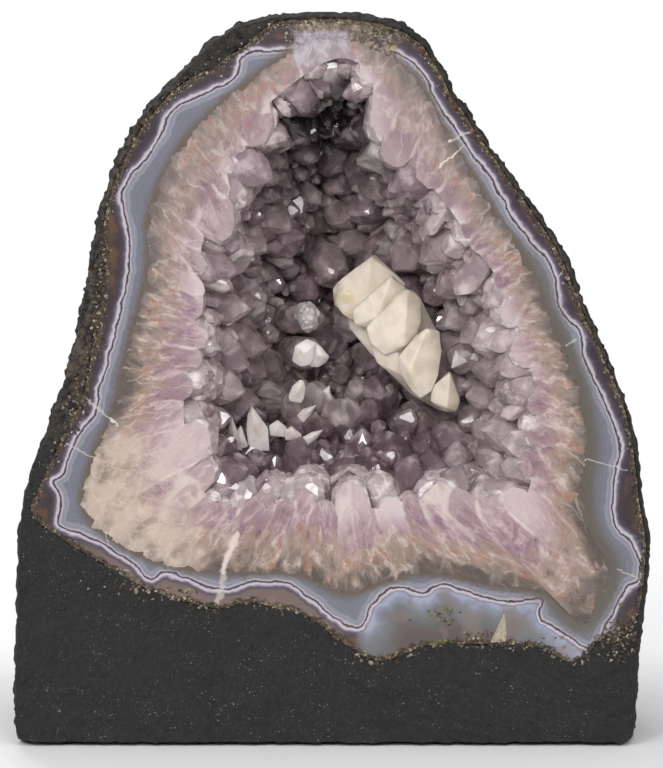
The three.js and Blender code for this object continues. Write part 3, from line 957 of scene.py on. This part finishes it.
def cement():
    """The foot and coat: bumpy cast cement, hollow where it holds the stone."""
    inner_edge = evenly(BASE_LINE, CEMENT_COLUMNS)
    middle = np.array([0, HEIGHT / 2])
    outline = middle + (inner_edge - middle) / (1 - EDGE_BREAK / middle[1])
    angles, outer_reach = polar(inner_edge)
    hole_reach = np.minimum(stone_reach(angles) + GAP, outer_reach - GAP)
    back = STONE_BACK - FRONT + GAP
    rings = dome(at_polar(angles, hole_reach), CENTRE, back, quarter(HOLLOW_RINGS)[::-1])
    for share in np.linspace(0, 1, FACE_RINGS):
        rings.append(with_y(at_polar(angles, hole_reach + (outer_reach - hole_reach) * share), FRONT))
    for turn in quarter(BACK_RINGS):
        share = math.cos(turn) ** (2 / BASE_POWER)
        depth = (BACK - FRONT - EDGE_BREAK) * math.sin(turn) ** (2 / BASE_POWER)
        rings.append(with_y(outline * share, FRONT + EDGE_BREAK + depth))
    rings = np.array(rings)
    rings[..., 2] = np.maximum(rings[..., 2], 0)
    points, faces = closed_grid(rings, (CENTRE[0], STONE_BACK + GAP, CENTRE[1]), (0, BACK, 0))
    data = mesh_of("cement_foot_and_coat", points, faces)
    normals = np.array([v.vector for v in data.vertex_normals])
    points = coordinates(data)
    at_back = rise(points[:, 1], FRONT + 8, FRONT + 45)
    on_coat = rise(points[:, 2], 92, 120) * (1 - at_back)
    bumps = (0.55 + 0.5 * on_coat) * rough(points, 7, 3, 1)
    bumps += (0.5 + 0.5 * on_coat) * rough(points, 2.2, 2, 2)
    bumps += at_back * (1.6 * rough(points, 26, 2, 3) - 0.9 * rise(rough(points, 4, 2, 4), 0.25, 0.6))
    in_hollow = np.arange(len(points)) < (HOLLOW_RINGS - 1) * CEMENT_COLUMNS
    bumps = np.where(in_hollow, 0, bumps * rise(points[:, 2], 0.0, 1.5))
    points = points + normals * bumps[:, None]
    sunk = (0.5 + 0.6 * on_coat) * (points[:, 1] < FRONT + 1)
    points[:, 1] = np.clip(points[:, 1] + sunk, FRONT, BACK)
    points[:, 2] = np.clip(points[:, 2], 0, HEIGHT)
    move_to(data, points)
    piece("cement_foot_and_coat", data, cement_material(), ["cement_base"])


AGATE_COLUMNS = 1000
AGATE_RINGS = 60  # across the polished face, closest together at the rind
JAGGED = 1.6  # how far the agate's inner edge strays


def agate():
    """The banded bowl: its polished face, its broken rim and the hidden back."""
    angles = polar(evenly(STONE_LINE, AGATE_COLUMNS))[0]
    stone = stone_reach(angles)
    inner = reach(QUARTZ_LINE, angles)
    edge = with_y(at_polar(angles, inner), 0)
    inner = inner + JAGGED * (rough(edge, 4, 2, 12) - np.abs(rough(edge, 1.8, 2, 13)))
    rim = at_polar(angles, stone)
    rings = dome(rim, CENTRE, STONE_BACK - FRONT, quarter(10)[::-1])
    for share in np.linspace(0, 1, AGATE_RINGS) ** 1.2:
        rings.append(with_y(at_polar(angles, stone + (inner - stone) * share), FRONT))
    rings += dome(at_polar(angles, inner), CENTRE, DRUSE_BACK - FRONT, quarter(10))
    poles = [(CENTRE[0], y, CENTRE[1]) for y in (STONE_BACK, DRUSE_BACK)]
    points, faces = closed_grid(np.array(rings), *poles)
    data = mesh_of("agate_bowl", points, faces)
    points = coordinates(data)
    flat = points[:, [0, 2]]
    from_edge = depth_inside(flat, evenly(rim, 500))
    broken = rise(from_edge + 1.6 * rough(points, 2.5, 3, 5), 1.7, 0.5)
    pushed = broken * (0.6 + 0.5 * rough(points, 1.1, 2, 6))
    points[:, 1] += np.where(points[:, 1] < FRONT + 0.1, pushed, 0)
    points[:, 1] = np.maximum(points[:, 1], FRONT)
    move_to(data, points)
    store(data, "band", depth_inside(flat, STRIPE_LINE))
    store(data, "to_quartz", depth_inside(flat, evenly(QUARTZ_LINE, 500)))
    store(data, "from_edge", from_edge)
    piece("agate_bowl", data, agate_material(), ["agate_shell"])


def ring_values(data):
    """Where each point of the sawn quartz is: its growth from agate to tip, and its column."""
    points = coordinates(data)[:, [0, 2]]
    angles, distance = polar(points)
    outer = reach(QUARTZ_LINE, angles)
    depth = outer - distance
    store(data, "growth", np.clip(depth / (outer - reach(TIP_LINE, angles)), -0.1, 1.3))
    radius = QUARTZ_RADIUS
    store(data, "column", np.stack([radius * np.cos(angles), radius * np.sin(angles), depth], axis=1))


QUARTZ_RADIUS = polar(QUARTZ_LINE)[1].mean()


# Rings of rim crystals: how many, their radius, how far behind the face their tips are, and how
# much shorter than the line of tips they are.
RIM_RINGS = (
    (38, 7.6, (4.5, 9.5), -0.5),
    (50, 5.0, (1.5, 4.5), 6.5),
    (40, 8.0, (13.0, 20.0), -3.0),
)
SHEET = 0.15  # how far the sawn quartz lies behind the agate's face
LIP = 0.5  # thickness of its free edge
UNDER_AGATE = 2.5  # how far it goes on under the jagged edge of the agate
QUARTZ_COLUMNS = 850
SHEET_RINGS = 56
WALL_RINGS = 40


def rim_crystals():
    """Crystals cut open by the saw, from the agate to the points round the cavity."""
    rng = np.random.default_rng(11)
    gathered = Crystals()
    for count, width, behind, short in RIM_RINGS:
        angles = polar(evenly(TIP_LINE, count))[0] + rng.uniform(-0.05, 0.05, count)
        tips = at_polar(angles, reach(TIP_LINE, angles))
        roots = at_polar(angles, reach(QUARTZ_LINE, angles))
        for tip, root in zip(tips, roots):
            inward = unit(tip - root)
            tip = tip + inward * (rng.uniform(-4, 2.5) - short)
            place = (tip[0], FRONT + rng.uniform(*behind), tip[1])
            direction = unit(np.array([inward[0], 0.05, inward[1]]) + rng.uniform(-0.16, 0.16, 3))
            length = np.linalg.norm(tip - root) * rng.uniform(0.7, 0.9)
            radius = width * rng.uniform(0.7, 1.35)
            front = FRONT + SHEET + rng.uniform(0.05, 0.35)
            solid = quartz(rng, place, direction, radius, length, front, WORN_SLOPE, 0.35 * radius)
            gathered.add(solid, rng.uniform())
    piece("rim_crystals", gathered.mesh("rim_crystals"), rim_quartz_material())
    return gathered


def quartz_layer(rim):
    """The druse's body: a sawn ring of quartz and the wall of the cavity behind it."""
    angles = polar(evenly(QUARTZ_LINE, QUARTZ_COLUMNS))[0]
    outer = reach(QUARTZ_LINE, angles) + UNDER_AGATE
    roots = reach(ROOT_LINE, angles)
    cut = cut_reach(rim.solids, angles, roots)
    rings = dome(at_polar(angles, outer), CENTRE, DRUSE_BACK - FRONT, quarter(10)[::-1])
    for share in np.linspace(0, 1, SHEET_RINGS):
        rings.append(with_y(at_polar(angles, outer + (cut - outer) * share), FRONT + SHEET))
    rings.append(with_y(at_polar(angles, cut + LIP), FRONT + SHEET + LIP))
    rings += dome(at_polar(angles, roots), CAVITY_CENTRE, CAVITY_DEPTH, quarter(WALL_RINGS)[3:])
    poles = [
        (CENTRE[0], DRUSE_BACK, CENTRE[1]),
        (CAVITY_CENTRE[0], FRONT + CAVITY_DEPTH, CAVITY_CENTRE[1]),
    ]
    points, faces = closed_grid(np.array(rings), *poles)
    data = mesh_of("quartz_layer", points, faces)
    ring_values(data)
    owner, seam = nearest_crystal(rim.solids, with_y(coordinates(data)[:, [0, 2]], FRONT))
    store(data, "seam", seam)
    store(data, "shade", np.array(rim.shades)[owner])
    piece("quartz_layer", data, quartz_layer_material(), ["amethyst_druse"])


def wall_samples():
    """Points spread over the cavity's wall, with the way into the cavity and the area of each."""
    turns = np.linspace(0.06, np.pi / 2 - 0.02, 90)
    grid = np.array(dome(evenly(ROOT_LINE, 400), CAVITY_CENTRE, CAVITY_DEPTH, turns))
    around = np.roll(grid, -1, axis=1) - np.roll(grid, 1, axis=1)
    normal = np.cross(around, np.gradient(grid, axis=0))
    size = np.linalg.norm(normal, axis=-1)
    normal /= size[..., None]
    middle = np.array([CAVITY_CENTRE[0], FRONT, CAVITY_CENTRE[1]])
    normal *= np.sign(((middle - grid) * normal).sum(-1))[..., None]
    return grid.reshape(-1, 3), normal.reshape(-1, 3), size.ravel() / size.sum()


def spread(rng, points, shares, spacing, tries):
    """Picks points at random, none nearer than the spacing to another."""
    chosen = np.empty((0, 3))
    picked = []
    for index in rng.choice(len(points), tries, p=shares):
        if not len(chosen) or np.linalg.norm(chosen - points[index], axis=1).min() > spacing:
            chosen = np.vstack([chosen, points[index]])
            picked.append(index)
    return picked


# Sizes of the lining: the name, the spacing, the radius, the height, how far they lean, how many
# places are tried, and how wide the worn edges are.
LINING = (
    ("large", 10.5, (4.8, 8.2), (9, 19), 0.3, 3000, 1.1),
    ("medium", 6.2, (2.6, 4.4), (7, 14), 0.4, 5000, 0.6),
    ("small", 4.2, (1.2, 2.4), (5, 10), 0.55, 6000, 0),
)
# Tips of the tall crystals that the calcite grows on, and their radius.
TALL_CRYSTALS = [
    ((12, -16, 150), 8), ((20, -18, 143), 8), ((27, -20, 131), 8), ((33, -24, 120), 7),
    ((1, -19, 153), 7.5), ((37, -26, 115), 6), ((-8, -18, 137), 6), ((-6, -18, 126), 6),
    ((-12, -22, 111), 6), ((-5, -27, 104), 5), ((40, -32, 124), 5.5), ((-26, -28, 101), 5),
]


def lining():
    """The crystals on the wall of the cavity, large ones first and small ones between them."""
    points, normals, shares = wall_samples()
    rng = np.random.default_rng(23)
    material = amethyst_material()
    for kind, spacing, radii, heights, lean, tries, blunt in LINING:
        gathered = Crystals()
        for index in spread(rng, points, shares, spacing, tries):
            direction = unit(normals[index] + rng.uniform(-lean, lean, 3))
            height = rng.uniform(*heights)
            tip = points[index] + direction * height
            solid = quartz(
                rng, tip, direction, rng.uniform(*radii), height + 5, FRONT + rng.uniform(0.6, 2.5),
                blunt=blunt,
            )
            gathered.add(solid, rng.uniform())
        piece(f"lining_crystals_{kind}", gathered.mesh(kind), material)
    gathered = Crystals()
    for tip, radius in TALL_CRYSTALS:
        arms = np.array(tip) - points
        nearest = np.linalg.norm(arms + [0, 12, 0], axis=1).argmin()
        length = np.linalg.norm(arms[nearest]) + 4
        direction = unit(arms[nearest])
        solid = quartz(rng, tip, direction, radius, length, blunt=1.2)
        gathered.add(solid, rng.uniform())
    piece("lining_crystals_tall", gathered.mesh("tall"), material)


# The calcite cluster: for each crystal the two ends of its ridge, its outline on the sawn face that
# the camera sees it behind, and how far behind the face the ridge is.
CLUSTER = [
    ([(19, 143.7), (32, 114.4)], 43, [
        (4.4, 145.9), (28.8, 148.2), (34.3, 137.2), (38.5, 122.5), (40.1, 110.5), (35.3, 110.5),
        (26.2, 115.7), (19.7, 121.9), (11.9, 130), (5.7, 137.5),
    ]),
    ([(2.8, 152.1), (2.8, 145.3)], 41, [
        (0.2, 150.5), (2.1, 153.1), (6, 152.4), (6.7, 146.9), (4.7, 142), (0.8, 145),
    ]),
    ([(12.8, 160.9), (11.2, 146.9)], 38, [
        (14.1, 161.8), (18.7, 155.3), (24.2, 152.4), (22.3, 143.7), (9.3, 138.8), (3.4, 142), (1.1, 145.6),
        (2.1, 153.1), (8, 157.3),
    ]),
    ([(19.3, 154.4), (14.8, 141.1)], 35, [
        (19.7, 155), (24.9, 150.2), (23.6, 140.4), (15.8, 136.5), (11.2, 137.8), (7.3, 138.8), (6.3, 143.3),
        (14.1, 150.2),
    ]),
    ([(20.6, 132.3), (22.9, 122.5)], 34, [
        (12.2, 132.9), (19, 134.6), (25.5, 132.3), (23.9, 125.8), (25.8, 117.7), (21, 121.9), (14.5, 126.4),
    ]),
    ([(24.5, 150.2), (23.6, 132.3)], 31, [
        (23.2, 150.5), (26.5, 150.2), (29.1, 147.6), (29.4, 139.8), (27.1, 132.3), (22.9, 130), (17.1, 128.7),
        (12.8, 132.3), (10.9, 137.8), (12.5, 140.1), (15.4, 143), (19.3, 146.9),
    ]),
    ([(31, 137.5), (25.5, 124.2)], 28, [
        (31, 138.1), (35.3, 136.8), (35.9, 129.7), (34.9, 122.2), (32.7, 117), (28.8, 114.4), (25.8, 117.3),
        (22.6, 122.2), (21.3, 128.4), (27.1, 135.2),
    ]),
    ([(38.5, 123.2), (37.5, 111.8)], 29, [
        (38.2, 123.8), (39.5, 122.5), (40.1, 116), (42.1, 113.8), (40.8, 110.5), (36.9, 110.2), (32, 113.8),
        (32.3, 118.3),
    ]),
]
RELIEF = 3.5  # how far the outline is behind the ridge
CLUSTER_THICKNESS = 9.0


def seen_at(x, z, behind):
    """The point at a depth behind the face that the camera sees through a place on it."""
    eye = LOOKS_AT + TO_CAMERA * CAMERA_DISTANCE
    way = np.array([x, FRONT, z]) - eye
    return eye + way * (FRONT + behind - eye[1]) / way[1]


def ridged(ridge, outline, behind, relief, thickness):
    """A blunt crystal whose faces fall back from a ridge to the outline the camera sees."""
    points = [seen_at(*end, behind) for end in ridge]
    points += [seen_at(*corner, behind + relief) for corner in outline]
    return hull(points + [seen_at(*np.mean(outline, axis=0), behind + thickness)])


def calcite_cluster():
    gathered = Crystals()
    for ridge, behind, outline in CLUSTER:
        gathered.add(ridged(ridge, outline, behind, RELIEF, CLUSTER_THICKNESS))
    material = calcite_material("cream_calcite", srgb(243, 230, 213), srgb(222, 206, 189), 0.18)
    data = gathered.mesh("calcite_rhombs", 0.5, 3)
    piece("calcite_rhombs", data, material, ["calcite_cluster"])


# The small pale crystals: for each node, outlines on the sawn face that the camera sees them
# behind, each from the crystal's tip.
SMALL_CRYSTALS = {
    "calcite_knob_lower": [
        [(-0.5, 128.4), (-1.8, 126.4), (-4.4, 124.8), (-7, 125.1), (-6.7, 130), (-5.4, 133.6), (-3.1, 131.6)],
        [(-4.4, 133), (-4.8, 126), (-10, 125), (-13, 127), (-12, 132), (-8, 134.5)],
    ],
    "calcite_blade_1": [
        [(-32.8, 110.2), (-34, 102.7), (-33.3, 98.5), (-28.8, 97.5), (-29.4, 99.5), (-30.7, 104.6)],
        [(-29.5, 106.5), (-32, 102), (-30, 98), (-27, 99)],
    ],
    "calcite_blade_2": [
        [(-26, 112.8), (-27.5, 109.5), (-27.8, 104.6), (-27.1, 97.5), (-20, 97.5), (-20.6, 105.3),
         (-23.6, 109.5)],
        [(-17.5, 108), (-20.5, 106), (-20, 102.5), (-15, 102), (-14.5, 105.5)],
        [(-13, 106), (-16, 104), (-15, 101), (-10, 101), (-9.5, 103)],
    ],
    "calcite_blade_3": [
        [(-10.2, 121.2), (-12.8, 119), (-14.1, 115.7), (-13.8, 113.8), (-9.9, 113.1), (-8.9, 114.7),
         (-8.3, 118.3), (-8.9, 120.6)],
        [(-0.6, 119.3), (-3.1, 117.3), (-1.5, 115), (0.2, 113.8)],
    ],
    "calcite_blade_4": [
        [(-2.4, 104.8), (-6.3, 104), (-9.9, 102), (-9.9, 100.4), (-7.6, 99.5), (-4.4, 102)],
        # The second is a painted highlight: a pale body where a glint on an amethyst facet shows.
        [(-4.7, 112.9), (-9.3, 111.5), (-11.5, 109.2), (-9.3, 106.6), (-6.7, 109.5)],
    ],
    "calcite_blade_5": [
        [(40.3, 131), (39.5, 128.4), (38.8, 124.3), (44.5, 126.8)],
        [(46, 129.8), (45, 127.6), (47.6, 126.8), (48, 129)],
    ],
}
SMALL_RELIEF = (1.2, 7)  # how far the outline and the back are behind the ridge
KNOB_LUMPS = 22


def small_crystals():
    material = calcite_material("pale_calcite", srgb(236, 225, 220), srgb(204, 188, 185), 0.25)
    for node, outlines in SMALL_CRYSTALS.items():
        gathered = Crystals()
        for outline in outlines:
            middle = np.mean(outline, axis=0)
            ridge = [0.5 * middle + 0.5 * np.array(outline[0]), middle]
            gathered.add(ridged(ridge, outline, node_box(node)[0][1] - FRONT, *SMALL_RELIEF))
        data = gathered.mesh(node, 0.3, 2)
        piece(node.replace("calcite", "pale"), data, material, [node])
    knob(material)


def knob(material):
    """The upper knob: a rough lump of small crystals grown together."""
    rng = np.random.default_rng(5)
    low, high = node_box("calcite_knob_upper")
    gathered = Crystals()
    for _ in range(KNOB_LUMPS):
        way = unit(rng.normal(size=3) + (0, -0.7, 0.2))
        tip = (low + high) / 2 + way * (high - low) * 0.55
        solid = quartz(rng, tip, way, rng.uniform(1.8, 3.2), 6, slope=WORN_SLOPE, blunt=0.6)
        gathered.add(solid, rng.uniform())
    piece("pale_knob_upper", gathered.mesh("knob"), material, ["calcite_knob_upper"])


COARSE_BASE = evenly(BASE_LINE, 300)
CLEAR_EDGE = 1.2  # no grains nearer than this to the edge of the cement


def on_cement(flat):
    """Whether a place on the face is well inside the cement's outline."""
    return depth_inside(flat[None], COARSE_BASE)[0] > CLEAR_EDGE


def add_grain(gathered, rng, flat, radius, behind, front):
    """Adds a grain with its tip some way behind the face, cut off at a front."""
    tip = np.array([flat[0], FRONT + behind, flat[1]])
    gathered.add(quartz(rng, tip, rng.normal(size=3), radius, 1.4 * radius, FRONT + front), rng.uniform())


def rind_grains():
    """Loose grains of the broken rind, between the agate and the cement."""
    rng = np.random.default_rng(31)
    gathered = Crystals()
    angles = polar(evenly(STONE_LINE, 1800))[0]
    line = at_polar(angles, stone_reach(angles))
    low = -line[:, 1]
    heavy = 0.45 + 0.5 * rough(with_y(line, 0), 14, 2, 9)
    heavy += 0.35 * rise(low, -62, -50) + 0.5 * rise(line[:, 0], 78, 88) * rise(low, -58, -50)
    for at, share in zip(line, np.clip(heavy, 0, 1.5)):
        if rng.uniform() > 0.3 + share:
            continue
        radius = rng.uniform(0.15, 0.6) * (0.5 + 1.2 * share)
        flat = at + rng.normal(0, 0.3 + 0.9 * share, 2)
        if on_cement(flat):
            add_grain(gathered, rng, flat, radius, 0.4 + radius, 0.05)
    for middle, width, count in CRUST_PATCHES:
        for flat in rng.normal(middle, width, (count, 2)):
            radius = rng.uniform(0.2, 0.7)
            if depth_inside(flat[None], STRIPE_LINE)[0] < -0.6 and on_cement(flat):
                add_grain(gathered, rng, flat, radius, 0.4, -0.35)
    ridge, outline = TOOTH
    gathered.add(ridged(ridge, outline, -0.4, 0.3, 2), 0.82)
    piece("rind_grains", gathered.mesh("rind_grains"), crust_material())


# Patches of crust on the face: the middle, the spread across and up, and how many grains.
CRUST_PATCHES = (
    ((36, 43.5), (3.0, 1.8), 110), ((47, 37), (4.5, 1.0), 90), ((92, 38), (3.4, 3.6), 420),
    ((15, 233), (4.0, 1.2), 90), ((-14, 231), (1.2, 2.2), 40), ((62, 34), (8, 1.2), 90),
    ((-60, 52), (9, 1.6), 90), ((-36, 222), (4, 2.5), 60),
    ((-75, 140), (1.1, 8), 140), ((-74.5, 162), (1.0, 7), 120), ((-83, 112), (2, 5), 90),
)
# A cream spike of crust that stands on the pool's edge: its ridge and its outline.
TOOTH = ([(56, 42), (55.6, 37)], [(56.6, 44.8), (57.2, 38), (57, 35), (52, 34.6), (53.6, 38), (55.2, 41.4)])


# ---- Studio -----------------------------------------------------------------------------------

CAMERA_DISTANCE = 1100.0
CAMERA_ELEVATION = math.radians(5)
FIELD_HEIGHT = 1.04 * HEIGHT
LOOKS_AT = np.array([0, FRONT, 0.498 * HEIGHT])
TO_CAMERA = np.array([0, -math.cos(CAMERA_ELEVATION), math.sin(CAMERA_ELEVATION)])
SEEN_WHITE = 1.0  # strength of the surround as the camera sees it
SOFT_LIGHT = 0.4  # and as it lights the stone


def camera():
    data = bpy.data.cameras.new("camera")
    data.sensor_width = 36
    data.lens = data.sensor_width * CAMERA_DISTANCE / FIELD_HEIGHT
    made = bpy.data.objects.new("camera", data)
    SCENE.collection.objects.link(made)
    made.location = (LOOKS_AT + TO_CAMERA * CAMERA_DISTANCE) * MM
    aim(made, LOOKS_AT)
    SCENE.camera = made


def aim(thing, target):
    """Turns a camera or a light towards a point."""
    way = Vector(np.asarray(target) * MM) - thing.location
    thing.rotation_euler = way.to_track_quat("-Z", "Y").to_euler()


def area_light(name, place, size, watts):
    data = bpy.data.lights.new(name, "AREA")
    data.shape = "RECTANGLE"
    data.size, data.size_y = size[0] * MM, size[1] * MM
    data.energy = watts
    made = bpy.data.objects.new(name, data)
    SCENE.collection.objects.link(made)
    made.location = np.asarray(place, float) * MM
    aim(made, (0, FRONT, HEIGHT / 2))


def surround():
    """A white surround that lights the stone more softly than it looks."""
    world = bpy.data.worlds.new("surround")
    world.use_nodes = True
    tree = world.node_tree
    path = tree.nodes.new("ShaderNodeLightPath")
    strength = tree.nodes.new("ShaderNodeMapRange")
    strength.inputs["To Min"].default_value = SOFT_LIGHT
    strength.inputs["To Max"].default_value = SEEN_WHITE
    tree.links.new(path.outputs["Is Camera Ray"], strength.inputs["Value"])
    background = tree.nodes["Background"]
    background.inputs["Color"].default_value = (1, 1, 1, 1)
    tree.links.new(strength.outputs["Result"], background.inputs["Strength"])
    SCENE.world = world


def studio():
    """A pale floor, a white surround, soft lights and small ones for glints."""
    surround()
    SCENE.view_settings.view_transform = "Standard"
    area_light("key", (-420, -800, 650), (380, 280), 2.4)
    area_light("right", (480, -700, 560), (220, 160), 1.4)
    area_light("fill", (10, -1080, 480), (420, 240), 3.1)
    area_light("glint_left", (-330, -950, 470), (150, 150), 2.4)
    area_light("glint_top", (170, -820, 820), (130, 130), 1.2)
    area_light("back", (-350, 900, 700), (420, 300), 3.0)
    floor = bpy.data.meshes.new("floor")
    half = 1500 * MM
    corners = [(-half, -half, 0), (half, -half, 0), (half, half, 0), (-half, half, 0)]
    floor.from_pydata(corners, [], [(0, 1, 2, 3)])
    floor.materials.append(floor_material())
    made = bpy.data.objects.new("floor", floor)
    SCENE.collection.objects.link(made)


camera()
studio()
cement()
agate()
quartz_layer(rim_crystals())
lining()
calcite_cluster()
small_crystals()
rind_grains()
